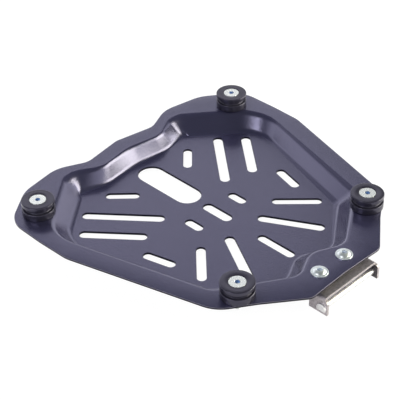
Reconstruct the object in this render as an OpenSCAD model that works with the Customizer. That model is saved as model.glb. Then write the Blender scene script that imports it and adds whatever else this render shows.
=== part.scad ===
// Top case mounting plate: a pressed steel tray with a wide rim, four seat
// pucks that carry the case, and a latch bracket with a round bar at the near end.
// +Y points to the wide end, the latch is at -Y, and Z = 0 is under the latch ears.

/* [Seats] */
// Distance between the two seats at the wide end
wide_spacing = 225.4; // [200:0.2:250]
// Distance between the two seats at the latch end
narrow_spacing = 152; // [130:0.5:180]
// Distance between the two rows of seats
row_pitch = 186; // [170:1:210]
// Distance of the middle between the rows from the middle of the plate
row_shift = 6; // [0:0.5:12]
// Diameter of a seat puck
puck_d = 27.2; // [24:0.2:32]
// Height of a seat puck above the rim
puck_h = 13; // [11:0.5:18]
// Height of the lower disc of a puck
puck_foot_h = 6.2; // [4:0.2:6.6]
// Height of the groove that the case grips
groove_h = 3.3; // [2:0.1:3.8]
// Depth of the groove that the case grips
groove_depth = 2.4; // [1:0.1:4]
// Rounding of the puck edges
puck_edge = 0.7; // [0.2:0.1:0.9]

/* [Plate] */
// Thickness of the pressed sheet
sheet_t = 2; // [1.5:0.1:3]
// Depth of the tray, from the top of the rim to its floor
tray_depth = 14.2; // [10:0.1:20]
// Height of the tray underside above the lowest point of the latch
tray_z = 3.8; // [2:0.1:8]
// Rim width outside the wide seats
side_margin = 23.8; // [20:0.2:30]
// Reach of the far edge past the wide seats, at the middle
far_margin = 32.5; // [30:0.5:40]
// Reach of the near edge past the narrow seats, at the middle
near_margin = 40.6; // [39:0.2:44]
// Rim width outside the narrow seats
corner_margin = 23; // [20:0.5:28]
// Rim width between the far edge and the tray, at the middle
far_rim = 16.5; // [14:0.5:20]
// Part of the tray wall that each bend takes
bend_share = 0.22; // [0.1:0.02:0.3]

/* [Rack slots] */
// Width of the long slots
slot_w = 8.4; // [6:0.2:10]
// Length of the large centre cut-out
window_l = 67.5; // [50:0.5:75]
// Width of the large centre cut-out
window_w = 23.4; // [16:0.2:30]

/* [Latch] */
// Distance between the outer faces of the latch ears
latch_w = 62; // [56:1:76]
// Thickness of the latch bracket
latch_t = 2; // [1.5:0.1:3]
// Diameter of the latch bar
bar_d = 5; // [4:0.2:6]
// Height of the bar axis above the bottom of the ears
bar_z = 5.5; // [4.5:0.1:6]
// Distance of the bar axis behind the front of the ears
bar_inset = 5.1; // [4.5:0.1:7]
// Width of an ear, from front to back
ear_l = 17.6; // [14:0.2:22]
// Reach of the ears past the near edge of the plate
ear_reach = 8.5; // [6:0.1:10]
// Width of the bracket strap, from front to back
strap_l = 28.7; // [26:0.1:30]
// Distance that the ears stand in front of the strap
strap_inset = 2.9; // [2:0.1:5]
// Thickness of the spacers between rim and strap
spacer_t = 3; // [2:0.1:4]
// Diameter of the spacers
spacer_d = 20; // [18:0.5:25]

/* [Fasteners] */
// Thread diameter of all screws
screw_d = 6; // [5:0.5:6]
// Clearance of a screw in its hole, all round
hole_gap = 0.3; // [0.1:0.05:0.5]
// Clearance of a nut thread round its screw
thread_gap = 0.05; // [0.02:0.01:0.1]
// Diameter of the countersunk heads
csk_d = 13.4; // [12:0.1:14]
// Length of the countersunk screws past the foot of the puck
csk_reach = 12; // [11:0.5:13]
// Distance between the two latch screws
latch_screw_pitch = 29; // [28:0.5:34]
// Distance of the latch screws from the near edge
latch_screw_inset = 13.6; // [13:0.1:14.5]
// Diameter of the flanged latch screw heads
flange_head_d = 13.6; // [12:0.1:15]
// Length of the latch screws under the head
latch_screw_l = 16; // [15.5:0.5:17]
// Width of the nuts across flats
nut_af = 10; // [9:0.5:11]
// Height of the lock nuts
nut_h = 6; // [5:0.5:6.5]
// Diameter of the washers
washer_d = 12; // [11:0.5:14]
// Thickness of the washers
washer_t = 1.6; // [1:0.1:2]

/* [Hidden] */
$fn = 64;
eps = 0.01;

// Heights of the sheet
floor_top = tray_z + sheet_t;
rim_top = floor_top + tray_depth;
rim_under = rim_top - sheet_t;

// Places of the seats
wide_x = wide_spacing / 2;
narrow_x = narrow_spacing / 2;
wide_y = row_pitch / 2 + row_shift;
narrow_y = -row_pitch / 2 + row_shift;
near_edge = narrow_y - near_margin;

// Offsets of the rim outline: the dip and the lobe of the far edge, the far corner, the
// straight sides, and the corners of the latch end
dip = [38, -6.5];
lobe = [64, 5.6];
far_corner = [-33.5, 31.5];
side_ends = [[-0.5, 7], [0, -30], [-1, -60]];
near_corner = [-4, -17.5];
latch_corner = [40, -1.4];

// Corners of the rim outline, right half, from the far middle to the near middle:
// x, y and the length of the rounding on each side of the corner
side_x = wide_x + side_margin;
far_edge = wide_y + far_margin;
rim_corners = [
    [0, far_edge, 3],
    [dip[0], far_edge + dip[1], 5],
    [lobe[0], far_edge + lobe[1], 9.5],
    [side_x + far_corner[0], wide_y + far_corner[1], 8],
    [side_x + side_ends[0][0], wide_y + side_ends[0][1], 13],
    [side_x + side_ends[1][0], wide_y + side_ends[1][1], 3],
    [side_x + side_ends[2][0], wide_y + side_ends[2][1], 4],
    [narrow_x + corner_margin, narrow_y + 0.5, 11],
    [narrow_x + near_corner[0], narrow_y + near_corner[1], 2],
    [latch_corner[0], near_edge + latch_corner[1], 3.5],
    [0, near_edge, 6]
];

// Corners of the tray edge at the rim, in step with the corners of the outline
bend_far = far_edge - far_rim;
bend_side = [wide_x + 13.2, wide_y - 25.7];
bend_near = [narrow_x + 9.3, narrow_y + 18.8];
bend_lobe = [26.5, narrow_y - 18.5];
bend_corners = [
    [0, bend_far, 8],
    [34, bend_far - 5.5, 8],
    [56, bend_far + 6.5, 5],
    [68, bend_far + 5.5, 4.5],
    [bend_side[0], bend_side[1], 26],
    concat(between(bend_side, bend_near, 0.25), 4),
    concat(between(bend_side, bend_near, 0.55), 4),
    [bend_near[0], bend_near[1], 6],
    concat(between(bend_near, bend_lobe, 0.45), 4),
    [bend_lobe[0], bend_lobe[1], 9],
    [0, narrow_y - 5.5, 8]
];

// Inward run of the tray wall from each of those corners down to the floor
floor_side = bend_side + [-10.9, -8.8];
floor_near = bend_near + [-9.8, 10.7];
floor_lobe = bend_lobe + [1.5, 12.5];
floor_corners = [
    [0, bend_far - 7.7, 7],
    [36, bend_far - 11, 7],
    [62, bend_far - 4.5, 3],
    [66, bend_far - 10.5, 3],
    [floor_side[0], floor_side[1], 22],
    concat(between(floor_side, floor_near, 0.25), 4),
    concat(between(floor_side, floor_near, 0.55), 4),
    [floor_near[0], floor_near[1], 5],
    concat(between(floor_near, floor_lobe, 0.45), 4),
    [floor_lobe[0], floor_lobe[1], 8],
    [0, narrow_y + 8, 10]
];

// Steps of a rounded corner, and of a bend of the tray wall
corner_steps = 6;
bend_steps = 4;
wall_angle = 52;

// Slots of the tray floor, right half: x, y, length, width and angle
slots = [
    [58, 59, 68.5, slot_w, 50],
    [80.3, 46.7, 55.5, slot_w, 50],
    [38.5, 81.4, 28.5, slot_w - 0.9, 45],
    [76, -2.6, 29, slot_w - 0.4, 75],
    [56.6, -29.9, 41.6, slot_w - 0.8, 134],
    [25.5, 9.2, 17.9, slot_w - 0.5, 90],
    [31, -46, 55.8, slot_w, 119]
];
// Slots on the middle line: y, length and width
middle_slots = [
    [64.7, window_l, window_w],
    [7.4, 29.9, slot_w + 0.9],
    [-57.4, 37, slot_w - 0.7]
];

// Puck profile
puck_r = puck_d / 2;
groove_r = puck_r - groove_depth;
groove_top = puck_foot_h + groove_h;
hole_r = screw_d / 2 + hole_gap;
head_rim = 0.4;
head_sink = 0.13;
well_gap = 0.5;
csk_h = (csk_d - screw_d) / 2;
csk_l = puck_h + csk_reach;
head_z = rim_top + puck_h - head_sink;

// Latch bracket
ear_front = near_edge - ear_reach;
strap_front = ear_front + strap_inset;
strap_back = strap_front + strap_l;
strap_top = rim_under - spacer_t;
bend_r = latch_t + 1.5;
ear_round = 3;
bar_y = ear_front + bar_inset;
bar_gap = 0.05;
bar_head_d = bar_d + 3.6;
bar_head_t = 1.6;
bar_head_flat = 2.2;
latch_screw_x = latch_screw_pitch / 2;
latch_screw_y = near_edge + latch_screw_inset;

// Screw heads and nuts
socket_af = 4;
socket_depth = 2.2;
flange_t = 1.2;
button_d = 10.4;
button_h = 2.3;
collar_share = 0.28;
collar_d = nut_af * 0.9;
nut_corner_r = nut_af * 0.6;
nut_chamfer = nut_af * 0.06;

// A point at a share of the way from a to b
function between(a, b, share) = [for (i = [0:1]) a[i] + (b[i] - a[i]) * share];
function unit(v) = v / norm(v);
function mirrored(half) = concat(
    half,
    [for (i = [len(half) - 2:-1:1]) [-half[i][0], half[i][1], half[i][2]]]
);
function blend(a, b, share) = [for (i = [0:len(a) - 1]) a[i] + (b[i] - a[i]) * share];
// One rounded corner: a circular arc as a rational curve, which also suits a straight corner
function arc(p, back, ahead, reach) =
    let (
        u = unit(back - p),
        v = unit(ahead - p),
        w = sqrt(max(0, (1 - u * v) / 2))
    )
    [for (i = [0:corner_steps])
        let (
            s = i / corner_steps,
            weights = [(1 - s) * (1 - s), 2 * s * (1 - s) * w, s * s],
            sum = weights[0] + weights[1] + weights[2]
        )
        ((p + u * reach) * weights[0] + p * weights[1] + (p + v * reach) * weights[2]) / sum
    ];
function flat(c) = [c[0], c[1]];
function rounded(corners) =
    let (n = len(corners))
    [for (i = [0:n - 1])
        each arc(flat(corners[i]), flat(corners[(i + n - 1) % n]), flat(corners[(i + 1) % n]), corners[i][2])
    ];
// The corners moved outward by a distance, with the sides kept parallel (the loop runs clockwise)
function grown(corners, distance) =
    let (n = len(corners))
    [for (i = [0:n - 1])
        let (
            d0 = unit(flat(corners[i]) - flat(corners[(i + n - 1) % n])),
            d1 = unit(flat(corners[(i + 1) % n]) - flat(corners[i])),
            n0 = [-d0[1], d0[0]],
            n1 = [-d1[1], d1[0]],
            shift = (n0 + n1) * distance / (1 + n0 * n1)
        )
        [corners[i][0] + shift[0], corners[i][1] + shift[1], corners[i][2]]
    ];

// Section of the tray wall from rim to floor: share inward, share of the depth left, slope
function bend_point(a, b, c, s) = a * (1 - s) * (1 - s) + b * 2 * s * (1 - s) + c * s * s;
wall_section = concat(
    [for (i = [0:bend_steps])
        let (s = i / bend_steps)
        concat(bend_point([-bend_share, 1], [0, 1], [bend_share, 1 - bend_share], s), s * wall_angle)
    ],
    [for (i = [0:bend_steps])
        let (s = i / bend_steps)
        concat(bend_point([1 - bend_share, bend_share], [1, 0], [1 + bend_share, 0], s), (1 - s) * wall_angle)
    ]
);
// One ring of the sheet, on its upper face (0) or its lower face (1)
function ring_corners(s) = blend(mirrored(bend_corners), mirrored(floor_corners), s);
function ring(station, face) =
    let (
        slope = station[2],
        drop = face * sheet_t * cos(slope),
        loop = rounded(grown(ring_corners(station[0]), face * sheet_t * sin(slope)))
    )
    [for (p = loop) [p[0], p[1], floor_top + tray_depth * station[1] - drop]];
function rim_ring(z) = [for (p = rounded(mirrored(rim_corners))) [p[0], p[1], z]];

module sheet() {
    rings = concat(
        [for (i = [len(wall_section) - 1:-1:0]) ring(wall_section[i], 0)],
        [rim_ring(rim_top), rim_ring(rim_under)],
        [for (station = wall_section) ring(station, 1)]
    );
    count = len(rings[0]);
    last = len(rings) - 1;
    centre = count * len(rings);
    polyhedron(
        points = concat([for (r = rings) each r], [[0, 0, floor_top], [0, 0, tray_z]]),
        faces = concat(
            [for (r = [0:last - 1], i = [0:count - 1])
                let (j = (i + 1) % count)
                each [
                    [r * count + j, r * count + i, (r + 1) * count + i],
                    [(r + 1) * count + j, r * count + j, (r + 1) * count + i]
                ]
            ],
            [for (i = [0:count - 1]) [centre, i, (i + 1) % count]],
            [for (i = [0:count - 1]) [centre + 1, last * count + (i + 1) % count, last * count + i]]
        )
    );
}

module slot_cut(place, length, width, angle) {
    half = (length - width) / 2;
    depth = sheet_t * 3;
    translate([place[0], place[1], tray_z - sheet_t])
        rotate([0, 0, angle])
        linear_extrude(depth)
        union() {
            square([2 * half, width], center = true);
            for (side = [-1, 1])
                translate([side * half, 0])
                circle(d = width);
        }
}

module at_seat(wide, side) {
    x = wide ? wide_x : narrow_x;
    y = wide ? wide_y : narrow_y;
    translate([side * x, y, 0])
        children();
}

module at_latch_screw(side) {
    translate([side * latch_screw_x, latch_screw_y, 0])
        children();
}

module screw_hole(top) {
    translate([0, 0, top - 3 * sheet_t])
        cylinder(r = hole_r, h = 4 * sheet_t);
}

module plate() {
    color("dimgray")
        difference() {
            sheet();
            for (s = slots, side = [-1, 1])
                slot_cut([side * s[0], s[1]], s[2], s[3], side > 0 ? s[4] : 180 - s[4]);
            for (s = middle_slots)
                slot_cut([0, s[0]], s[1], s[2], 90);
            for (wide = [true, false], side = [-1, 1])
                at_seat(wide, side)
                screw_hole(rim_top);
            for (side = [-1, 1])
                at_latch_screw(side)
                screw_hole(rim_top);
        }
}

function edge_arc(centre, r, from, to, steps) =
    [for (i = [0:steps])
        let (a = from + (to - from) * i / steps)
        [centre[0] + r * cos(a), centre[1] + r * sin(a)]
    ];

module puck(wide, side) {
    e = puck_edge;
    steps = 3;
    outer = puck_r - e;
    well_r = csk_d / 2 + well_gap;
    seat_z = puck_h - head_sink - head_rim;
    color("#2b2b30")
        at_seat(wide, side)
        translate([0, 0, rim_top])
        rotate_extrude($fn = 96)
        polygon(concat(
            [[hole_r, 0]],
            edge_arc([outer, e], e, -90, 0, steps),
            edge_arc([outer, puck_foot_h - e], e, 0, 90, steps),
            [[groove_r, puck_foot_h], [groove_r, groove_top]],
            edge_arc([outer, groove_top + e], e, -90, 0, steps),
            edge_arc([outer, puck_h - e], e, 0, 90, steps),
            [
                [well_r, puck_h],
                [well_r, seat_z],
                [csk_d / 2, seat_z],
                [hole_r, seat_z - csk_d / 2 + hole_r]
            ]
        ));
}

module socket(top) {
    translate([0, 0, top - socket_depth])
        cylinder(d = socket_af / cos(30), h = socket_depth + eps, $fn = 6);
}

module puck_screw(wide, side) {
    r = csk_d / 2;
    neck = screw_d / 2;
    color("silver")
        at_seat(wide, side)
        translate([0, 0, head_z])
        difference() {
            rotate_extrude($fn = 96)
                polygon([
                    [0, 0], [r, 0], [r, -head_rim], [neck, -head_rim - csk_h],
                    [neck, -csk_l], [0, -csk_l]
                ]);
            socket(0);
        }
}

module washer(top, outer_d) {
    translate([0, 0, top - washer_t])
        difference() {
            cylinder(d = outer_d, h = washer_t);
            translate([0, 0, -eps])
                cylinder(r = hole_r, h = washer_t + 2 * eps);
        }
}

module lock_nut(top) {
    collar_h = nut_h * collar_share;
    hex_h = nut_h - collar_h;
    translate([0, 0, top - nut_h])
        difference() {
            union() {
                cylinder(d = collar_d, h = collar_h + eps);
                translate([0, 0, collar_h])
                    intersection() {
                        cylinder(d = nut_af / cos(30), h = hex_h, $fn = 6);
                        rotate_extrude($fn = 96)
                            polygon([
                                [0, 0], [nut_af / 2, 0], [nut_corner_r, nut_chamfer],
                                [nut_corner_r, hex_h], [0, hex_h]
                            ]);
                    }
            }
            translate([0, 0, -eps])
                cylinder(r = screw_d / 2 + thread_gap, h = nut_h + 2 * eps);
        }
}

module puck_washer(wide, side) {
    color("silver")
        at_seat(wide, side)
        washer(rim_under, washer_d);
}

module puck_nut(wide, side) {
    color("silver")
        at_seat(wide, side)
        lock_nut(rim_under - washer_t);
}

module strap_section() {
    half = latch_w / 2;
    inner = half - latch_t;
    steps = 6;
    polygon(concat(
        [[half, 0]],
        edge_arc([half - bend_r, strap_top - bend_r], bend_r, 0, 90, steps),
        edge_arc([bend_r - half, strap_top - bend_r], bend_r, 90, 180, steps),
        [[-half, 0], [-inner, 0]],
        edge_arc([bend_r - half, strap_top - bend_r], bend_r - latch_t, 180, 90, steps),
        edge_arc([half - bend_r, strap_top - bend_r], bend_r - latch_t, 90, 0, steps),
        [[inner, 0]]
    ));
}

module ear_outline() {
    polygon(concat(
        [[ear_front + ear_l, 0], [ear_front + ear_l, strap_top + eps], [strap_front, strap_top + eps]],
        [[strap_front, strap_top - latch_t]],
        edge_arc([ear_front + ear_round, strap_top - latch_t - ear_round], ear_round, 90, 180, 4),
        [[ear_front, 0]]
    ));
}

module latch_bracket() {
    half = latch_w / 2;
    color("#8f8a86")
        difference() {
            union() {
                intersection() {
                    translate([0, ear_front + ear_l, 0])
                        rotate([90, 0, 0])
                        linear_extrude(ear_l)
                        strap_section();
                    translate([-half - 1, 0, 0])
                        rotate([90, 0, 90])
                        linear_extrude(latch_w + 2)
                        ear_outline();
                }
                translate([bend_r - half, ear_front + ear_l, strap_top - latch_t])
                    cube([latch_w - 2 * bend_r, strap_back - ear_front - ear_l, latch_t]);
            }
            for (side = [-1, 1])
                at_latch_screw(side)
                translate([0, 0, strap_top - 2 * latch_t])
                cylinder(r = hole_r, h = 3 * latch_t);
            translate([-half - 1, bar_y, bar_z])
                rotate([0, 90, 0])
                cylinder(r = bar_d / 2 + bar_gap, h = latch_w + 2);
        }
}

module latch_bar() {
    half = latch_w / 2;
    color("gainsboro")
        translate([0, bar_y, bar_z])
        rotate([0, 90, 0])
        union() {
            translate([0, 0, -half])
                cylinder(d = bar_d, h = latch_w);
            for (side = [-1, 1])
                translate([0, 0, side > 0 ? half : -half - bar_head_t])
                intersection() {
                    cylinder(d = bar_head_d, h = bar_head_t);
                    translate([-bar_head_d, -bar_head_d / 2, 0])
                        cube([bar_head_d + bar_head_flat, bar_head_d, bar_head_t]);
                }
        }
}

module latch_spacer(side) {
    color("gray")
        at_latch_screw(side)
        translate([0, 0, strap_top])
        difference() {
            cylinder(d = spacer_d, h = spacer_t);
            translate([0, 0, -eps])
                cylinder(r = hole_r, h = spacer_t + 2 * eps);
        }
}

module latch_screw(side) {
    dome_steps = 5;
    dome_r = (button_d * button_d / 4 + button_h * button_h) / (2 * button_h);
    dome_angle = asin(button_d / 2 / dome_r);
    color("silver")
        at_latch_screw(side)
        translate([0, 0, rim_top])
        difference() {
            rotate_extrude($fn = 96)
                polygon(concat(
                    [[0, -latch_screw_l], [screw_d / 2, -latch_screw_l], [screw_d / 2, 0]],
                    [[flange_head_d / 2, 0], [flange_head_d / 2, flange_t]],
                    edge_arc([0, flange_t + button_h - dome_r], dome_r, 90 - dome_angle, 90, dome_steps)
                ));
            socket(flange_t + button_h);
        }
}

module latch_washer(side) {
    color("silver")
        at_latch_screw(side)
        washer(strap_top - latch_t, washer_d);
}

module latch_nut(side) {
    color("silver")
        at_latch_screw(side)
        lock_nut(strap_top - latch_t - washer_t);
}

plate();
puck(true, -1);  // puck_wide_left
puck(true, 1);  // puck_wide_right
puck(false, -1);  // puck_narrow_left
puck(false, 1);  // puck_narrow_right
puck_screw(true, -1);  // puck_screw_wide_left
puck_screw(true, 1);  // puck_screw_wide_right
puck_screw(false, -1);  // puck_screw_narrow_left
puck_screw(false, 1);  // puck_screw_narrow_right
puck_washer(true, -1);  // puck_washer_wide_left
puck_washer(true, 1);  // puck_washer_wide_right
puck_washer(false, -1);  // puck_washer_narrow_left
puck_washer(false, 1);  // puck_washer_narrow_right
puck_nut(true, -1);  // puck_nut_wide_left
puck_nut(true, 1);  // puck_nut_wide_right
puck_nut(false, -1);  // puck_nut_narrow_left
puck_nut(false, 1);  // puck_nut_narrow_right
latch_bracket();
latch_bar();
latch_spacer(-1);  // latch_spacer_left
latch_spacer(1);  // latch_spacer_right
latch_screw(-1);  // latch_screw_left
latch_screw(1);  // latch_screw_right
latch_washer(-1);  // latch_washer_left
latch_washer(1);  // latch_washer_right
latch_nut(-1);  // latch_nut_left
latch_nut(1);  // latch_nut_right
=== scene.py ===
import math

import bpy
from mathutils import Matrix, Vector
from mathutils.geometry import delaunay_2d_cdt


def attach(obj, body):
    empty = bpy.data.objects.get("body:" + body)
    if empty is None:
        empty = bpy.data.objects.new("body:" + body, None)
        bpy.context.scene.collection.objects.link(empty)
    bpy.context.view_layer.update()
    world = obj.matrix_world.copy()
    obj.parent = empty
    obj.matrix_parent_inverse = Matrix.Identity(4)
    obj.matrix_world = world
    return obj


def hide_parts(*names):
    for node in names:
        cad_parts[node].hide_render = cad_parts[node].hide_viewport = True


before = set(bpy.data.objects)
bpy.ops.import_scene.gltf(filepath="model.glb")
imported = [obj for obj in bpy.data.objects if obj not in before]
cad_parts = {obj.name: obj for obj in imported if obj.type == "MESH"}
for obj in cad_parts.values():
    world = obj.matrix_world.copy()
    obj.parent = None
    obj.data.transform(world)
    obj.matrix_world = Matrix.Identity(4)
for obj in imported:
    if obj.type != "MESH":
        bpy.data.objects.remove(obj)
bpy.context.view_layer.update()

MM = 0.001

# Sizes in mm and degrees, as in the part's source
WIDE_X, NARROW_X = 112.7, 76.0
WIDE_Y, NARROW_Y = 99.0, -87.0
SHEET_T, TRAY_DEPTH, TRAY_Z = 2.0, 14.2, 3.8
FLOOR_TOP = TRAY_Z + SHEET_T
RIM_TOP = FLOOR_TOP + TRAY_DEPTH
RIM_UNDER = RIM_TOP - SHEET_T
FAR_MARGIN, NEAR_MARGIN, SIDE_MARGIN = 32.5, 40.6, 23.8
CORNER_MARGIN, FAR_RIM, BEND_SHARE, WALL_ANGLE = 23.0, 16.5, 0.22, 52.0
NEAR_EDGE = NARROW_Y - NEAR_MARGIN
SIDE_X = WIDE_X + SIDE_MARGIN
# How far the rim leans at its outer edge, in degrees. Only its normals do.
RIM_CROWN = 4.5

# Fasteners
M6_R, HOLE_R = 3.0, 3.3
WASHER_R, WASHER_T = 6.0, 1.6
SPACER_R, SPACER_T = 10.0, 3.0
NUT_AF, NUT_H, NUT_BORE_R = 10.0, 6.0, 3.05
PUCK_R, PUCK_H = 13.6, 13.0
PUCK_SCREW_L, PUCK_SCREW_SINK = 25.0, 0.13
LATCH_SCREW_L, KEY_AF = 16.0, 4.0

# Latch
LATCH_X, LATCH_Y = 14.5, -114.0
LATCH_T = 2.0
STRAP_TOP = RIM_UNDER - SPACER_T
STRAP_UNDER = STRAP_TOP - LATCH_T
LATCH_HALF_W = 31.0
EAR_REACH, BAR_INSET, BAR_R, BAR_Z = 8.5, 5.1, 2.5, 5.5
BAR_AT = (0.0, NEAR_EDGE - EAR_REACH + BAR_INSET, BAR_Z)


def between(a, b, share):
    return [a[i] + (b[i] - a[i]) * share for i in range(2)]


# Corners of half an outline, each with the reach of its rounding
FAR_EDGE = WIDE_Y + FAR_MARGIN
RIM_CORNERS = [
    (0, FAR_EDGE, 3), (38, FAR_EDGE - 6.5, 5), (64, FAR_EDGE + 5.6, 9.5),
    (SIDE_X - 33.5, WIDE_Y + 31.5, 8), (SIDE_X - 0.5, WIDE_Y + 7, 13), (SIDE_X, WIDE_Y - 30, 3),
    (SIDE_X - 1, WIDE_Y - 60, 4), (NARROW_X + CORNER_MARGIN, NARROW_Y + 0.5, 11),
    (NARROW_X - 4, NARROW_Y - 17.5, 2), (40, NEAR_EDGE - 1.4, 3.5), (0, NEAR_EDGE, 6),
]
BEND_FAR = FAR_EDGE - FAR_RIM
BEND_SIDE = (WIDE_X + 13.2, WIDE_Y - 25.7)
BEND_NEAR = (NARROW_X + 9.3, NARROW_Y + 18.8)
BEND_LOBE = (26.5, NARROW_Y - 18.5)
BEND_CORNERS = [
    (0, BEND_FAR, 8), (34, BEND_FAR - 5.5, 8), (56, BEND_FAR + 6.5, 5), (68, BEND_FAR + 5.5, 4.5),
    (*BEND_SIDE, 26),
    (*between(BEND_SIDE, BEND_NEAR, 0.25), 4), (*between(BEND_SIDE, BEND_NEAR, 0.55), 4),
    (*BEND_NEAR, 6), (*between(BEND_NEAR, BEND_LOBE, 0.45), 4),
    (*BEND_LOBE, 9), (0, NARROW_Y - 5.5, 8),
]
FLOOR_SIDE = (BEND_SIDE[0] - 10.9, BEND_SIDE[1] - 8.8)
FLOOR_NEAR = (BEND_NEAR[0] - 9.8, BEND_NEAR[1] + 10.7)
FLOOR_LOBE = (BEND_LOBE[0] + 1.5, BEND_LOBE[1] + 12.5)
FLOOR_CORNERS = [
    (0, BEND_FAR - 7.7, 7), (36, BEND_FAR - 11, 7), (62, BEND_FAR - 4.5, 3), (66, BEND_FAR - 10.5, 3),
    (*FLOOR_SIDE, 22),
    (*between(FLOOR_SIDE, FLOOR_NEAR, 0.25), 4), (*between(FLOOR_SIDE, FLOOR_NEAR, 0.55), 4),
    (*FLOOR_NEAR, 5), (*between(FLOOR_NEAR, FLOOR_LOBE, 0.45), 4),
    (*FLOOR_LOBE, 8), (0, NARROW_Y + 8, 10),
]
SLOT_W = 8.4
# Centre, length, width and angle from X of each slot on the right, mirrored on the left
SLOTS = [
    (58, 59, 68.5, SLOT_W, 50), (80.3, 46.7, 55.5, SLOT_W, 50), (38.5, 81.4, 28.5, SLOT_W - 0.9, 45),
    (76, -2.6, 29, SLOT_W - 0.4, 75), (56.6, -29.9, 41.6, SLOT_W - 0.8, 134),
    (25.5, 9.2, 17.9, SLOT_W - 0.5, 90), (31, -46, 55.8, SLOT_W, 119),
]
# Centre on Y, length and width of the slots on the middle line
MIDDLE_SLOTS = [(64.7, 67.5, 23.4), (7.4, 29.9, SLOT_W + 0.9), (-57.4, 37, SLOT_W - 0.7)]


def new_object(name, verts, faces, normals=None):
    mesh = bpy.data.meshes.new(name)
    mesh.from_pydata([Vector(v) * MM for v in verts], [], faces)
    mesh.validate()
    mesh.polygons.foreach_set("use_smooth", [True] * len(mesh.polygons))
    mesh.update()
    if normals is not None:
        mesh.normals_split_custom_set_from_vertices(normals)
    obj = bpy.data.objects.new(name, mesh)
    bpy.context.scene.collection.objects.link(obj)
    return obj


def unit2(v):
    n = math.hypot(v[0], v[1])
    return (v[0] / n, v[1] / n)


def mirrored(half):
    return list(half) + [(-x, y, r) for x, y, r in reversed(half[1:-1])]


def rounded(corners, steps):
    """Each corner becomes a rational arc, which also suits a straight corner."""
    out, n = [], len(corners)
    for i in range(n):
        px, py, reach = corners[i]
        u = unit2((corners[i - 1][0] - px, corners[i - 1][1] - py))
        v = unit2((corners[(i + 1) % n][0] - px, corners[(i + 1) % n][1] - py))
        w = math.sqrt(max(0.0, (1 - (u[0] * v[0] + u[1] * v[1])) / 2))
        for k in range(steps + 1):
            s = k / steps
            a, b, c = (1 - s) ** 2, 2 * s * (1 - s) * w, s * s
            total = a + b + c
            out.append((
                ((px + u[0] * reach) * a + px * b + (px + v[0] * reach) * c) / total,
                ((py + u[1] * reach) * a + py * b + (py + v[1] * reach) * c) / total,
            ))
    return out


def grown(corners, distance):
    out, n = [], len(corners)
    for i in range(n):
        x, y, r = corners[i]
        d0 = unit2((x - corners[i - 1][0], y - corners[i - 1][1]))
        d1 = unit2((corners[(i + 1) % n][0] - x, corners[(i + 1) % n][1] - y))
        n0, n1 = (-d0[1], d0[0]), (-d1[1], d1[0])
        k = distance / (1 + n0[0] * n1[0] + n0[1] * n1[1])
        out.append((x + (n0[0] + n1[0]) * k, y + (n0[1] + n1[1]) * k, r))
    return out


def blend(a, b, s):
    return [tuple(p + (q - p) * s for p, q in zip(u, v)) for u, v in zip(a, b)]


def outward(loop):
    """The normal of each point of a clockwise loop, away from what it encloses."""
    out, n = [], len(loop)
    for i in range(n):
        dx, dy = loop[(i + 1) % n][0] - loop[i - 1][0], loop[(i + 1) % n][1] - loop[i - 1][1]
        out.append(unit2((-dy, dx)))
    return out


def inside(p, loop):
    hit, j = False, len(loop) - 1
    for i in range(len(loop)):
        (xi, yi), (xj, yj) = loop[i], loop[j]
        if (yi > p[1]) != (yj > p[1]) and p[0] < (xj - xi) * (p[1] - yi) / (yj - yi) + xi:
            hit = not hit
        j = i
    return hit


class Sheet:
    """Collects points with their normals, and the faces between them."""

    def __init__(self):
        self.verts, self.normals, self.faces = [], [], []
        self.paint = {}

    def loop(self, points, normals):
        start = len(self.verts)
        self.verts += points
        self.normals += normals
        return list(range(start, len(self.verts)))

    def strip(self, a, b):
        n = len(a)
        for i in range(n):
            j = (i + 1) % n
            self.faces.append((a[j], a[i], b[i], b[j]))

    def flat(self, outer, holes, up):
        ids = list(outer) + [i for h in holes for i in h]
        points = [Vector(self.verts[i][:2]) for i in ids]
        edges, start = [], 0
        for loop in [outer] + holes:
            n = len(loop)
            edges += [(start + k, start + (k + 1) % n) for k in range(n)]
            start += n
        out_v, _, out_f, orig, _, _ = delaunay_2d_cdt(points, edges, [], 1, 1e-7)
        shapes = [[self.verts[i][:2] for i in h] for h in holes]
        for f in out_f:
            c = (sum(out_v[k][0] for k in f) / 3, sum(out_v[k][1] for k in f) / 3)
            if any(inside(c, s) for s in shapes):
                continue
            face = [ids[orig[k][0]] for k in f]
            self.faces.append(face if up else face[::-1])


EDGE_STEPS = 3
# Material of each strip of a cut edge, from the top down: 0 coat, 1 a darker copy of the coat that is
# painted shade, 2 a lighter copy that is a painted highlight
HOLE_PAINT = (0, 1, 1, 1, 1, 1, 1)
OUTLINE_PAINT = (0, 2, 2, 1, 1, 1, 1)


def cut_edge(sheet, loop, sign, z_top, z_low, r, crown=0.0, paint=HOLE_PAINT):
    """Rings of a rounded cut edge. sign is +1 on an outer edge, and -1 round a hole.
    crown is the lean of the surface at the edge, in degrees.
    Returns the point lists of the first ring on top and the last one underneath."""
    out = [(n[0] * sign, n[1] * sign) for n in outward(loop)]
    rings = []
    for centre_z, a0, a1 in ((z_top - r, 90, 0), (z_low + r, 0, -90)):
        for k in range(EDGE_STEPS + 1):
            a = math.radians(a0 + (a1 - a0) * k / EDGE_STEPS)
            inset, z = r * math.cos(a) - r, centre_z + r * math.sin(a)
            pts = [(p[0] + o[0] * inset, p[1] + o[1] * inset, z) for p, o in zip(loop, out)]
            lean = min(a, math.radians(90 - crown)) if a > 0 else a
            nrm = [(o[0] * math.cos(lean), o[1] * math.cos(lean), math.sin(lean)) for o in out]
            rings.append(sheet.loop(pts, nrm))
    for k, (a, b) in enumerate(zip(rings, rings[1:])):
        start = len(sheet.faces)
        if sign > 0:
            sheet.strip(b, a)
        else:
            sheet.strip(a, b)
        sheet.paint.update((face, paint[k]) for face in range(start, len(sheet.faces)))
    return rings[0], rings[-1]


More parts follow.
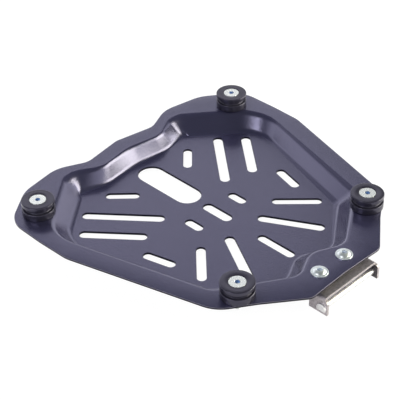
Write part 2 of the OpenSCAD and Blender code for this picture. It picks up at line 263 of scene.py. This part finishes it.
def obround(x, y, length, width, angle, steps=12):
    half, r = (length - width) / 2, width / 2
    c, s = math.cos(math.radians(angle)), math.sin(math.radians(angle))
    pts = []
    for side, start in ((1, 90), (-1, 270)):
        for k in range(steps + 1):
            a = math.radians(start - 180 * k / steps)
            u, v = side * half + r * math.cos(a), r * math.sin(a)
            pts.append((x + u * c - v * s, y + u * s + v * c))
    return pts


def circle(x, y, r, n=32):
    return [(x + r * math.cos(-math.tau * k / n), y + r * math.sin(-math.tau * k / n)) for k in range(n)]


def bend_point(a, b, c, s):
    return [a[i] * (1 - s) ** 2 + b[i] * 2 * s * (1 - s) + c[i] * s * s for i in range(2)]


def build_plate():
    corner_steps, bend_steps, hole_edge_r, rim_edge_r = 10, 8, 0.28, 0.5
    # Each station is the share of the way in, the share of the height, and the slope
    stations = []
    for k in range(bend_steps + 1):
        s = k / bend_steps
        p = bend_point((-BEND_SHARE, 1), (0, 1), (BEND_SHARE, 1 - BEND_SHARE), s)
        stations.append((*p, s * WALL_ANGLE))
    for k in range(bend_steps + 1):
        s = k / bend_steps
        p = bend_point((1 - BEND_SHARE, BEND_SHARE), (1, 0), (1 + BEND_SHARE, 0), s)
        stations.append((*p, (1 - s) * WALL_ANGLE))
    bend, floor = mirrored(BEND_CORNERS), mirrored(FLOOR_CORNERS)
    sheet = Sheet()

    def wall_ring(station, face):
        """face is 0 for the upper face of the sheet, and 1 for the one underneath."""
        slope = math.radians(station[2])
        corners = grown(blend(bend, floor, station[0]), face * SHEET_T * math.sin(slope))
        z = FLOOR_TOP + TRAY_DEPTH * station[1] - face * SHEET_T * math.cos(slope)
        return [(x, y, z) for x, y in rounded(corners, corner_steps)]

    def surface(face):
        """The rings of one face of the wall, with normals measured across the rings."""
        rings = [wall_ring(s, face) for s in stations]
        count, ids = len(rings[0]), []
        for k, ring in enumerate(rings):
            normals = []
            for i in range(count):
                if k in (0, len(rings) - 1):
                    normals.append((0, 0, 1 - 2 * face))
                    continue
                along = Vector(ring[(i + 1) % count]) - Vector(ring[i - 1])
                down = Vector(rings[k + 1][i]) - Vector(rings[k - 1][i])
                n = along.cross(down).normalized()
                if n.z < 0:
                    n = -n
                normals.append(n if face == 0 else -n)
            ids.append(sheet.loop(ring, [tuple(n) for n in normals]))
        for a, b in zip(ids, ids[1:]):
            if face == 0:
                sheet.strip(a, b)
            else:
                sheet.strip(b, a)
        return ids[0], ids[-1]

    top_bend, top_floor = surface(0)
    low_bend, low_floor = surface(1)
    outline = rounded(mirrored(RIM_CORNERS), corner_steps)
    rim_a, rim_b = cut_edge(sheet, outline, 1, RIM_TOP, RIM_UNDER, rim_edge_r, RIM_CROWN, OUTLINE_PAINT)
    holes = ((WIDE_X, WIDE_Y), (NARROW_X, NARROW_Y), (LATCH_X, LATCH_Y))
    rim_holes = [circle(side * x, y, HOLE_R) for side in (-1, 1) for x, y in holes]
    slots = [obround(x, y, l, w, a) for x, y, l, w, a in SLOTS]
    slots += [obround(-x, y, l, w, 180 - a) for x, y, l, w, a in SLOTS]
    slots += [obround(0, y, l, w, 90) for y, l, w in MIDDLE_SLOTS]
    rim_cuts = [cut_edge(sheet, h, -1, RIM_TOP, RIM_UNDER, hole_edge_r) for h in rim_holes]
    floor_cuts = [cut_edge(sheet, h, -1, FLOOR_TOP, TRAY_Z, hole_edge_r) for h in slots]
    sheet.flat(rim_a, [top_bend] + [c[0] for c in rim_cuts], True)
    sheet.flat(rim_b, [low_bend] + [c[1] for c in rim_cuts], False)
    sheet.flat(top_floor, [c[0] for c in floor_cuts], True)
    sheet.flat(low_floor, [c[1] for c in floor_cuts], False)
    obj = new_object("plate_sheet", sheet.verts, sheet.faces, sheet.normals)
    paint = [sheet.paint.get(k, 0) for k in range(len(sheet.faces))]
    obj.data.polygons.foreach_set("material_index", paint)
    return obj


def material(name):
    mat = bpy.data.materials.new(name)
    mat.use_nodes = True
    tree = mat.node_tree
    tree.nodes.clear()
    out = tree.nodes.new("ShaderNodeOutputMaterial")
    bsdf = tree.nodes.new("ShaderNodeBsdfPrincipled")
    tree.links.new(bsdf.outputs[0], out.inputs[0])
    return mat, tree, bsdf


def noise(tree, scale, detail=2.0, rough=0.5):
    tex = tree.nodes.new("ShaderNodeTexCoord")
    node = tree.nodes.new("ShaderNodeTexNoise")
    node.inputs["Scale"].default_value = scale
    node.inputs["Detail"].default_value = detail
    node.inputs["Roughness"].default_value = rough
    tree.links.new(tex.outputs["Object"], node.inputs["Vector"])
    return node.outputs[0]


def ramp(tree, source, stops):
    node = tree.nodes.new("ShaderNodeValToRGB")
    elems = node.color_ramp.elements
    while len(elems) < len(stops):
        elems.new(0.5)
    for e, (pos, col) in zip(elems, stops):
        e.position = pos
        e.color = (*col, 1) if not isinstance(col, float) else (col, col, col, 1)
    tree.links.new(source, node.inputs[0])
    return node.outputs[0]


def bump(tree, bsdf, height, distance, strength):
    node = tree.nodes.new("ShaderNodeBump")
    node.inputs["Strength"].default_value = strength
    node.inputs["Distance"].default_value = distance
    tree.links.new(height, node.inputs["Height"])
    tree.links.new(node.outputs[0], bsdf.inputs["Normal"])


def map_range(tree, source, values):
    """values: from, to, and what these two become."""
    made = tree.nodes.new("ShaderNodeMapRange")
    made.interpolation_type = "SMOOTHSTEP"
    for k, value in enumerate(values):
        made.inputs[k + 1].default_value = value
    tree.links.new(source, made.inputs[0])
    return made.outputs[0]


def math_node(tree, operation, a, b):
    made = tree.nodes.new("ShaderNodeMath")
    made.operation = operation
    for k, source in enumerate((a, b)):
        if isinstance(source, float):
            made.inputs[k].default_value = source
        else:
            tree.links.new(source, made.inputs[k])
    return made.outputs[0]


def mix_value(tree, share, a, b):
    made = tree.nodes.new("ShaderNodeMix")
    for k, source in enumerate((share, a, b)):
        tree.links.new(source, made.inputs[("Factor", "A", "B")[k]])
    return made.outputs[0]


def mix_colour(tree, share, a, b, blend="MIX"):
    """Mixes two colours. Each input is an output of the tree or a value."""
    made = tree.nodes.new("ShaderNodeMix")
    made.data_type = "RGBA"
    made.blend_type = blend
    for k, source in ((0, share), (6, a), (7, b)):
        if isinstance(source, bpy.types.NodeSocket):
            tree.links.new(source, made.inputs[k])
        else:
            made.inputs[k].default_value = source
    return made.outputs[2]


def dot_node(tree, source, direction):
    made = tree.nodes.new("ShaderNodeVectorMath")
    made.operation = "DOT_PRODUCT"
    made.inputs[1].default_value = direction
    tree.links.new(source, made.inputs[0])
    return made.outputs["Value"]


def powder_coat(name, low, high, ior, level):
    """A satin coat with soft clouds between two colours and a fine orange peel."""
    mat, tree, bsdf = material(name)
    cloud = noise(tree, 9.0, 2.0)
    colour = ramp(tree, cloud, [(0.3, low), (0.7, high)])
    tree.links.new(colour, bsdf.inputs["Base Color"])
    grain = noise(tree, 950.0, 2.0, 0.6)
    rough = ramp(tree, grain, [(0.3, 0.2), (0.7, 0.27)])
    tree.links.new(rough, bsdf.inputs["Roughness"])
    bsdf.inputs["IOR"].default_value = ior
    bsdf.inputs["Specular IOR Level"].default_value = level
    bsdf.inputs["Specular Tint"].default_value = (0.74, 0.71, 1.04, 1)
    bump(tree, bsdf, grain, 0.0003, 0.27)
    return mat


def rubber():
    mat, tree, bsdf = material("puck_rubber")
    grain = noise(tree, 1800.0, 3.0, 0.6)
    colour = ramp(tree, grain, [(0.3, (0.03, 0.028, 0.044)), (0.75, (0.04, 0.0375, 0.057))])
    tree.links.new(colour, bsdf.inputs["Base Color"])
    rough = ramp(tree, grain, [(0.3, 0.14), (0.7, 0.22)])
    tree.links.new(rough, bsdf.inputs["Roughness"])
    bsdf.inputs["Specular IOR Level"].default_value = 0.72
    bsdf.inputs["Specular Tint"].default_value = (0.74, 0.71, 1.0, 1)
    bump(tree, bsdf, grain, 0.0001, 0.25)
    return mat


def metal(name, colour, roughness, scale, bump_m, spread=0.93, metallic=1.0):
    """roughness is its lowest and highest, and spread what the dark grains keep of the
    colour."""
    mat, tree, bsdf = material(name)
    bsdf.inputs["Metallic"].default_value = metallic
    grain = noise(tree, scale, 3.0, 0.6)
    dark = tuple(c * spread for c in colour)
    col = ramp(tree, grain, [(0.3, dark), (0.7, colour)])
    tree.links.new(col, bsdf.inputs["Base Color"])
    rough = ramp(tree, grain, [(0.3, roughness[0]), (0.7, roughness[1])])
    tree.links.new(rough, bsdf.inputs["Roughness"])
    bump(tree, bsdf, grain, bump_m, 0.3)
    return mat


COAT = powder_coat("powder_coat", (0.035, 0.034, 0.074), (0.04, 0.038, 0.082), ior=1.7, level=1.0)
# A darker copy of the coat on the cut edges round holes and slots and under the outline: painted shade
SHADED_CUT_COAT = powder_coat(
    "powder_coat_painted_shade", (0.014, 0.013, 0.024), (0.018, 0.017, 0.03), ior=1.3, level=0.3,
)
# A lighter copy of the coat on the round along the rim's top outer edge: a painted highlight
HIGHLIGHT_EDGE_COAT = powder_coat(
    "powder_coat_painted_highlight", (0.2, 0.19, 0.26), (0.26, 0.25, 0.33), ior=1.5, level=0.5,
)
RUBBER = rubber()
ZINC = metal(
    "zinc", (0.96, 0.99, 1.0), (0.24, 0.3), scale=300.0, bump_m=0.000005, spread=0.97, metallic=0.8,
)
FLANGE_ZINC = metal(
    "flange_zinc", (0.9, 0.96, 1.0), (0.3, 0.36), scale=300.0, bump_m=0.000005, metallic=0.75,
)
# Darker and bluer than the head: painted shade and a painted blue reflection in the socket's recess
SHADED_SOCKET = metal(
    "zinc_socket_painted_shade", (0.42, 0.58, 0.84), (0.3, 0.4), scale=900.0, bump_m=0.00001, metallic=0.6,
)
# A little darker than the flange screw's zinc: painted shade in the socket's recess
GREY_SHADED_SOCKET = metal(
    "zinc_socket_grey_painted_shade", (0.86, 0.91, 1.0), (0.3, 0.4), scale=900.0, bump_m=0.00001, metallic=0.6,
)
STEEL = metal("bare_steel", (0.68, 0.625, 0.655), (0.5, 0.62), scale=700.0, bump_m=0.0001, spread=0.6)
BRIGHT = metal("bright_bar", (0.98, 0.97, 0.98), (0.42, 0.5), scale=900.0, bump_m=0.00002)

# Points round a turned part
SEGS = 96


def loft(name, rings, place, closed=False, sharp=35, along_x=False):
    """Joins rings (radius, z), where a radius may be a function of the angle. A closed
    section is a ring of material, and an open one is capped at both ends. Edges over
    sharp, in degrees, stay sharp."""
    verts, faces = [], []
    for radius, z in rings:
        for k in range(SEGS):
            t = math.tau * k / SEGS
            r = radius(t) if callable(radius) else radius
            verts.append((r * math.cos(t), r * math.sin(t), z))
    pairs = list(zip(range(len(rings) - 1), range(1, len(rings))))
    if closed:
        pairs.append((len(rings) - 1, 0))
    for a, b in pairs:
        for k in range(SEGS):
            j = (k + 1) % SEGS
            faces.append((a * SEGS + k, a * SEGS + j, b * SEGS + j, b * SEGS + k))
    if not closed:
        for ring, flip in ((0, True), (len(rings) - 1, False)):
            centre = len(verts)
            verts.append((0, 0, rings[ring][1]))
            for k in range(SEGS):
                j = (k + 1) % SEGS
                face = (centre, ring * SEGS + k, ring * SEGS + j)
                faces.append(face[::-1] if flip else face)
        faces = [f[::-1] for f in faces]
    if along_x:
        verts = [(z, y, -x) for x, y, z in verts]
    verts = [(x + place[0], y + place[1], z + place[2]) for x, y, z in verts]
    obj = new_object(name, verts, faces)
    obj.data.set_sharp_from_angle(angle=math.radians(sharp))
    return obj


def fillet(cx, cz, r, start, end, steps=5):
    out = []
    for k in range(steps + 1):
        a = math.radians(start + (end - start) * k / steps)
        out.append((cx + r * math.cos(a), cz + r * math.sin(a)))
    return out


def hexagon(width):
    def radius(t):
        turn = (math.degrees(t) + 30) % 60 - 30
        return width / 2 / math.cos(math.radians(turn))
    return radius


THREAD_DEPTH, THREAD_PITCH, THREAD_ROWS = 0.55, 1.0, 8


def thread_rings(top, bottom):
    """The helix of an outside thread, from top down to bottom."""
    out, count = [], int((top - bottom) / THREAD_PITCH * THREAD_ROWS)
    for k in range(count + 1):
        z = top - k * THREAD_PITCH / THREAD_ROWS
        run = min(1.0, k / THREAD_ROWS, (count - k) / THREAD_ROWS + 0.35)

        def radius(t, z=z, run=run):
            phase = (z / THREAD_PITCH - t / math.tau) % 1.0
            tooth = min(1.0, max(0.0, abs(phase - 0.5) * 2.6 - 0.25))
            return M6_R - THREAD_DEPTH * run * tooth
        out.append((radius, z))
    return out


def shank_rings(start, length):
    """The threaded shank of a screw, from start down to its chamfered end."""
    end = [(M6_R - THREAD_DEPTH, 0.4 - length), (2.1, -length)]
    return thread_rings(start, 0.6 - length) + end


def socket_rings(depth, top):
    """From the middle of the socket floor up and out to the chamfer round it."""
    wall, chamfer, cone = hexagon(KEY_AF), 0.1, 0.7
    return [
        (0.3, top - depth - cone), (lambda t: wall(t) * 0.97, top - depth), (wall, top - depth + 0.05),
        (wall, top - chamfer), (lambda t: wall(t) + chamfer, top), (KEY_AF * 0.65, top),
    ]


def puck_rings():
    """From the foot of the bore out, over the two discs and back down the screw's seat."""
    edge, foot, groove, groove_depth, fine = 0.7, 6.2, 3.3, 2.4, 0.4
    neck, side = PUCK_R - groove_depth, PUCK_R - edge
    well_r, lip, seat_r, seat_z = 7.2, 0.25, 6.72, 12.47
    return (
        [(HOLE_R, 0.0)]
        + fillet(side, edge, edge, -90, 0)
        + [(PUCK_R, foot * 0.5)]
        + fillet(side, foot - edge, edge, 0, 90)
        + fillet(neck + fine, foot + fine, fine, 270, 180, 3)
        + fillet(neck + fine, foot + groove - fine, fine, 180, 90, 3)
        + fillet(side, foot + groove + edge, edge, -90, 0)
        + fillet(side, PUCK_H - edge, edge, 0, 90)
        + fillet(well_r + lip, PUCK_H - lip, lip, 90, 180, 3)
        + [(well_r, seat_z + 0.02), (seat_r, seat_z), (HOLE_R, seat_z - (seat_r - HOLE_R))]
    )


def csk_rings():
    """A countersunk screw, from its socket out and down, with its head's top at 0."""
    head_r, rim, edge, plain_end = 6.7, 0.4, 0.12, -9.0
    return (
        socket_rings(2.2, 0.0)
        + [(2.8, 0.0), (head_r - 0.2, 0.0)] + fillet(head_r - edge, -edge, edge, 90, 0, 3)
        + [(head_r, -rim), (M6_R, -rim - (head_r - M6_R)), (M6_R, plain_end)]
        + shank_rings(plain_end - 0.2, PUCK_SCREW_L)
    )


def button_rings():
    """A flanged button screw, from its socket out and down, with its flange's foot at 0."""
    flange_r, flange_t, dome_r, dome_h, mouth_r = 6.8, 1.2, 5.2, 2.3, 2.7
    ball = (dome_r ** 2 + dome_h ** 2) / (2 * dome_h)
    dome = []
    for k in range(9):
        r = mouth_r + (dome_r - mouth_r) * k / 8
        dome.append((r, flange_t + dome_h - ball + math.sqrt(ball * ball - r * r)))
    mouth_z = dome[0][1]
    return (
        socket_rings(2.0, mouth_z) + dome
        + [(dome_r + 0.25, flange_t - 0.02)]
        + fillet(flange_r - 0.45, flange_t - 0.5, 0.45, 90, 0, 4)
        + fillet(flange_r - 0.2, 0.2, 0.2, 0, -90, 3)
        + [(M6_R, 0.0), (M6_R, -0.8)] + shank_rings(-1.0, LATCH_SCREW_L)
    )


def washer_rings(outer, thick):
    edge = 0.2
    return (
        [(HOLE_R, edge), (HOLE_R + edge, 0.0)]
        + fillet(outer - edge, edge, edge, -90, 0, 3)
        + fillet(outer - edge, thick - edge, edge, 0, 90, 3)
        + [(HOLE_R + edge, thick), (HOLE_R, thick - edge)]
    )


def nut_rings():
    """A lock nut, collar down, measured up from its lower end."""
    collar_h, collar_r, round_r = 1.68, 4.5, 0.5
    side = hexagon(NUT_AF)

    def cut(limit):
        return lambda t: min(side(t), limit)
    # The turned cone that takes the corners off the hexagon: radius, height
    cone = [(5.05, 0.0), (5.25, 0.12), (5.45, 0.26), (5.65, 0.45), (5.8, 0.7)]
    out = [(NUT_BORE_R, 0.3), (HOLE_R, 0.02)]
    out += fillet(collar_r - round_r, round_r, round_r, -90, 0, 4) + [(collar_r, collar_h)]
    out += [(cut(r), collar_h + z) for r, z in cone]
    out += [(cut(r), NUT_H - z * 0.6) for r, z in reversed(cone)]
    return out + [(3.45, NUT_H), (NUT_BORE_R, NUT_H - 0.35)]


# The first strips of a screw, which are its socket's floor and walls
SOCKET_BANDS = 3


def socket_painted(obj, mat):
    """Gives the walls and the floor of a screw's socket a second material, whose darker colour is
    painted shade in the recess.
    """
    obj.data.materials.append(mat)
    rows = len(obj.data.polygons) // SEGS - 2
    for face in obj.data.polygons:
        row = face.index // SEGS
        face.material_index = int(row < SOCKET_BANDS or row == rows)
    return obj


def shade_inner_ear(mat, start, end, shade):
    """Paints shade into the steel's colour where it faces -x beyond start (m): the inside of the right
    ear.
    """
    tree = mat.node_tree
    bsdf = next(n for n in tree.nodes if n.type == "BSDF_PRINCIPLED")
    plain = bsdf.inputs["Base Color"].links[0].from_socket
    coord = tree.nodes.new("ShaderNodeTexCoord")
    along = dot_node(tree, coord.outputs["Object"], (1.0, 0.0, 0.0))
    turned = dot_node(tree, coord.outputs["Normal"], (-1.0, 0.0, 0.0))
    beyond = map_range(tree, along, (start, end, 0.0, 1.0))
    facing = map_range(tree, turned, (0.6, 0.9, 0.0, 1.0))
    share = math_node(tree, "MULTIPLY", beyond, facing)
    tree.links.new(mix_colour(tree, share, plain, (*shade, 1)), bsdf.inputs["Base Color"])


def piece(obj, mat, slot, *nodes):
    obj.data.materials.append(mat)
    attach(obj, "root")
    if nodes:
        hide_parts(*nodes)
    return obj


def washer_and_nut(name, node, tag, x, y, z):
    """A washer and a lock nut that sit under z."""
    washer = loft(
        f"{name}_washer_{tag}", washer_rings(WASHER_R, WASHER_T), (x, y, z - WASHER_T), closed=True,
    )
    piece(washer, ZINC, "zinc", f"{node}_washer_{tag}")
    nut = loft(
        f"{name}_nut_{tag}", nut_rings(), (x, y, z - WASHER_T - NUT_H), closed=True, sharp=25,
    )
    piece(nut, ZINC, "zinc", f"{node}_nut_{tag}")


sheet = piece(build_plate(), COAT, "powder_coat", "plate")
sheet.data.materials.append(SHADED_CUT_COAT)
sheet.data.materials.append(HIGHLIGHT_EDGE_COAT)

for end, seat_x, y in (("wide", WIDE_X, WIDE_Y), ("narrow", NARROW_X, NARROW_Y)):
    for side, x in (("left", -seat_x), ("right", seat_x)):
        tag = f"{end}_{side}"
        puck = loft(f"seat_{tag}", puck_rings(), (x, y, RIM_TOP), closed=True, sharp=50)
        piece(puck, RUBBER, "puck_rubber", f"puck_{tag}")
        screw = loft(f"seat_screw_{tag}", csk_rings(), (x, y, RIM_TOP + PUCK_H - PUCK_SCREW_SINK))
        socket_painted(piece(screw, ZINC, "zinc", f"puck_screw_{tag}"), SHADED_SOCKET)
        washer_and_nut("seat", "puck", tag, x, y, RIM_UNDER)

for side, x in (("left", -LATCH_X), ("right", LATCH_X)):
    screw = loft(f"flange_screw_{side}", button_rings(), (x, LATCH_Y, RIM_TOP))
    socket_painted(piece(screw, FLANGE_ZINC, "zinc", f"latch_screw_{side}"), GREY_SHADED_SOCKET)
    spacer = loft(
        f"spacer_{side}", washer_rings(SPACER_R, SPACER_T), (x, LATCH_Y, STRAP_TOP), closed=True,
    )
    piece(spacer, STEEL, "bare_steel", f"latch_spacer_{side}")
    washer_and_nut("strap", "latch", side, x, LATCH_Y, STRAP_UNDER)

HEAD_R, HEAD_FLAT, HEAD_T = 4.3, 2.2, 1.6


def head_profile(t):
    """The riveted head of the bar: round, with a flat cut on its lower side."""
    down = math.cos(t)
    return min(HEAD_R, HEAD_FLAT / down) if down > 0.01 else HEAD_R


def head_shrunk(by):
    return lambda t: head_profile(t) - by


def bar_rings():
    """The bar from end to end, with its head outside each ear."""
    half, end = LATCH_HALF_W, LATCH_HALF_W + HEAD_T
    right = [
        (head_profile, half), (head_profile, end - 0.5), (head_shrunk(0.15), end - 0.15),
        (head_shrunk(0.5), end), (1.2, end - 0.15),
    ]
    left = [(radius, -z) for radius, z in reversed(right)]
    return left + [(BAR_R, z) for z in (-half, -20.0, 0.0, 20.0, half)] + right


bar = loft("hook_bar", bar_rings()[::-1], BAR_AT, along_x=True)
piece(bar, BRIGHT, "bright_bar", "latch_bar")

BRACKET_EDGE = 0.35


def dress_bracket():
    """The CAD bracket shows, in steel and with its edges rounded by modifiers."""
    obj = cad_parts["latch_bracket"]
    obj.data.materials.clear()
    obj.data.materials.append(STEEL)
    weld = obj.modifiers.new("weld", "WELD")
    weld.merge_threshold = 0.00001
    edge = obj.modifiers.new("edge", "BEVEL")
    edge.width = BRACKET_EDGE * MM
    edge.segments = 3
    edge.limit_method = "ANGLE"
    edge.angle_limit = math.radians(40)
    obj.data.polygons.foreach_set("use_smooth", [True] * len(obj.data.polygons))
    tidy = obj.modifiers.new("normals", "WEIGHTED_NORMAL")
    tidy.keep_sharp = False


# Painted shade on the inside of the right ear
shade_inner_ear(STEEL, 0.024, 0.028, (0.12, 0.11, 0.12))
dress_bracket()

# The camera, solved from the four seats in the photograph. Lengths in m.
RIGHT = Vector((0.70486194, -0.70912617, -0.01759876))
UP = Vector((0.43101293, 0.4084527, 0.80460813))
BACK = Vector((-0.56338042, -0.57472294, 0.59354531))
EYE = Vector((-0.565410, -0.549046, 0.603719))
cam_data = bpy.data.cameras.new("camera")
cam_data.lens, cam_data.sensor_width = 108.28, 36.0
cam_data.clip_start = 0.01
camera = bpy.data.objects.new("camera", cam_data)
bpy.context.scene.collection.objects.link(camera)
camera.matrix_world = Matrix((
    (RIGHT.x, UP.x, BACK.x, EYE.x),
    (RIGHT.y, UP.y, BACK.y, EYE.y),
    (RIGHT.z, UP.z, BACK.z, EYE.z),
    (0, 0, 0, 1),
))
bpy.context.scene.camera = camera


def area_light(name, direction, distance, size, radiance, colour=(1, 1, 1)):
    """A softbox that faces the plate, with the radiance of its face given. Lengths in m."""
    data = bpy.data.lights.new(name, "AREA")
    data.shape = "RECTANGLE"
    data.size, data.size_y = size
    data.energy = radiance * math.pi * size[0] * size[1]
    data.color = colour
    obj = bpy.data.objects.new(name, data)
    bpy.context.scene.collection.objects.link(obj)
    d = Vector(direction).normalized()
    obj.location = d * distance
    obj.rotation_euler = d.to_track_quat("Z", "Y").to_euler()
    return obj


area_light(
    "key_right", (0.69, -0.67, 0.27), distance=1.4, size=(1.12, 0.86), radiance=7.4,
    colour=(1.0, 0.98, 0.74),
)
area_light("corner_right", (0.93, -0.33, 0.16), distance=1.4, size=(0.4, 0.4), radiance=2.6)
area_light("left_box", (-0.76, 0.0, 0.65), distance=1.6, size=(0.85, 0.4), radiance=6.5)
# The overhead light fills without a mirror image in the coat
fill = area_light("fill", (0.25, 0.55, 0.8), distance=1.5, size=(1.0, 1.0), radiance=3.6)
fill.visible_glossy = False


def studio_rays(tree):
    """1 where the camera or a reflection looks, 0 for light that falls on the object."""
    path = tree.nodes.new("ShaderNodeLightPath").outputs
    seen = math_node(tree, "MAXIMUM", path["Is Camera Ray"], path["Is Glossy Ray"])
    return math_node(tree, "MAXIMUM", seen, path["Is Transmission Ray"])


def camera_rays(tree):
    return tree.nodes.new("ShaderNodeLightPath").outputs["Is Camera Ray"]


# Height in the world, and how bright a reflection finds it there, as a part of TOP_LEVEL:
# in the middle of the backdrop, at its sides, and all round
TOP_LEVEL = 1.5
BACKDROP_LEVELS = [
    (0.0, 1.0), (0.31, 1.0), (0.4, 0.3), (0.52, 0.32),
    (0.59, 0.8), (0.64, 0.9), (0.665, 0.3), (0.76, 0.0),
]
SIDE_LEVELS = [(0.0, 0.8), (0.45, 0.72), (0.6, 0.7), (0.68, 0.3), (0.76, 0.0)]
HORIZON_LEVELS = [(0.36, 0.82), (0.5, 0.0)]
# Ways into the world, and the cosines between which what lies there fades in
BEHIND_WAY, BEHIND_FADE = (-0.5, 0.866, 0.0), (0.02, 0.13)
SIDE_WAY, SIDE_FADE = (0.70, 0.71, 0.0), (0.3, 0.6)
MIDDLE_WAY, MIDDLE_FADE = (0.64, 0.77, 0.0), (0.68, 0.78)
CEILING = (0.085, 0.095, 0.1, 1)
FALLING_LIGHT = (0.06, 0.06, 0.06, 1)


def build_world():
    """White low down all round and up to the top of the backdrop behind the plate, a dim
    ceiling, and little fill."""
    world = bpy.data.worlds.new("world")
    bpy.context.scene.world = world
    world.use_nodes = True
    tree = world.node_tree
    tree.nodes.clear()
    out = tree.nodes.new("ShaderNodeOutputWorld")
    sky = tree.nodes.new("ShaderNodeBackground")
    way = tree.nodes.new("ShaderNodeTexCoord").outputs["Generated"]
    height = dot_node(tree, way, (0.0, 0.0, 1.0))

    def towards(direction, fade):
        return map_range(tree, dot_node(tree, way, direction), (*fade, 0.0, 1.0))

    white = ramp(tree, height, HORIZON_LEVELS)
    behind = towards(BEHIND_WAY, BEHIND_FADE)
    for direction, fade, levels in (
        (SIDE_WAY, SIDE_FADE, SIDE_LEVELS), (MIDDLE_WAY, MIDDLE_FADE, BACKDROP_LEVELS),
    ):
        share = math_node(tree, "MULTIPLY", behind, towards(direction, fade))
        white = mix_value(tree, share, white, ramp(tree, height, levels))
    bright = math_node(tree, "MULTIPLY", white, TOP_LEVEL)
    reflected = mix_colour(tree, 1.0, bright, CEILING, "ADD")
    looked_at = mix_colour(tree, camera_rays(tree), reflected, (1, 1, 1, 1))
    light = mix_colour(tree, studio_rays(tree), FALLING_LIGHT, looked_at)
    tree.links.new(light, sky.inputs["Color"])
    tree.links.new(sky.outputs[0], out.inputs[0])


build_world()


# How far from the middle the part's own shadow dims the floor for reflections (m), and
# what it leaves there of the white
SHADOW_REACH, SHADOW_WHITE = (0.1, 0.19), 0.22


def diffuse(tree, grey):
    made = tree.nodes.new("ShaderNodeBsdfDiffuse")
    made.inputs["Color"].default_value = (grey, grey, grey, 1)
    return made.outputs[0]


def build_floor():
    """A white sheet just under the part, on which its shadow falls."""
    half, cells, gap = 4000.0, 8, 0.0002
    row = cells + 1
    steps = [(k / cells * 2 - 1) * half for k in range(row)]
    verts = [(x, y, 0.0) for y in steps for x in steps]
    corners = [j * row + i for j in range(cells) for i in range(cells)]
    faces = [(k, k + 1, k + row + 1, k + row) for k in corners]
    obj = new_object("floor", verts, faces)
    obj.location.z = -gap
    mat = bpy.data.materials.new("floor")
    mat.use_nodes = True
    tree = mat.node_tree
    tree.nodes.clear()
    out = tree.nodes.new("ShaderNodeOutputMaterial")
    plain, soft = diffuse(tree, 0.82), diffuse(tree, 0.12)
    glow = tree.nodes.new("ShaderNodeEmission")
    glow.inputs["Strength"].default_value = 0.97
    white = tree.nodes.new("ShaderNodeAddShader")
    tree.links.new(soft, white.inputs[0])
    tree.links.new(glow.outputs[0], white.inputs[1])
    mix = tree.nodes.new("ShaderNodeMixShader")
    coord = tree.nodes.new("ShaderNodeTexCoord")
    reach = tree.nodes.new("ShaderNodeVectorMath")
    reach.operation = "LENGTH"
    tree.links.new(coord.outputs["Object"], reach.inputs[0])
    away = map_range(tree, reach.outputs["Value"], (*SHADOW_REACH, SHADOW_WHITE, 1.0))
    shown = math_node(tree, "MULTIPLY", studio_rays(tree), away)
    tree.links.new(math_node(tree, "MAXIMUM", shown, camera_rays(tree)), mix.inputs[0])
    tree.links.new(plain, mix.inputs[1])
    tree.links.new(white.outputs[0], mix.inputs[2])
    tree.links.new(mix.outputs[0], out.inputs[0])
    obj.data.materials.append(mat)


build_floor()
bpy.context.scene.view_settings.view_transform = "Standard"
